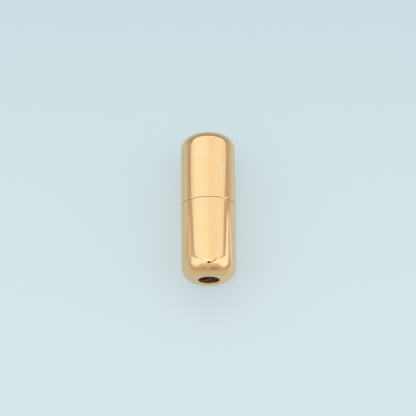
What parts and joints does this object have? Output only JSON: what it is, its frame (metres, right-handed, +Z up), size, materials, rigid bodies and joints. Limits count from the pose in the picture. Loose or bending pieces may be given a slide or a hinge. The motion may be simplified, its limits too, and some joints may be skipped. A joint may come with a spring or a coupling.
{
  "type": "magnetic clasp",
  "caption": "Round-ended barrel clasp in polished gold plate: a socket half and a plug half, held shut by disc magnets, each with a glue-in cord hole in its end.",
  "frame": {"origin": "on the surface that the shut clasp lies on, under the middle of its length", "axes": "+Y along the clasp's axis, from the socket shell to the plug shell; +Z up from the surface; X across"},
  "size_m": [0.008, 0.0226, 0.008],
  "materials": {
    "gold_plate": "mirror-polished gold plate on brass",
    "magnet_nickel": "bright nickel plate on sintered magnet"
  },
  "bodies": {
    "socket_half": {"socket_shell": "gold_plate", "socket_magnet": "magnet_nickel"},
    "plug_magnet": {"plug_magnet": "magnet_nickel"},
    "plug_shell": {"plug_shell": "gold_plate"}
  },
  "joints": [
    {"name": "pull_apart", "type": "slide", "parent": "socket_half", "child": "plug_magnet", "axis": [0, 1, 0], "range_m": [0, 0.015]},
    {"name": "twist", "type": "hinge", "parent": "plug_magnet", "child": "plug_shell", "pos_m": [0, 0.0004, 0.004], "axis": [0, 1, 0], "continuous": true}
  ]
}
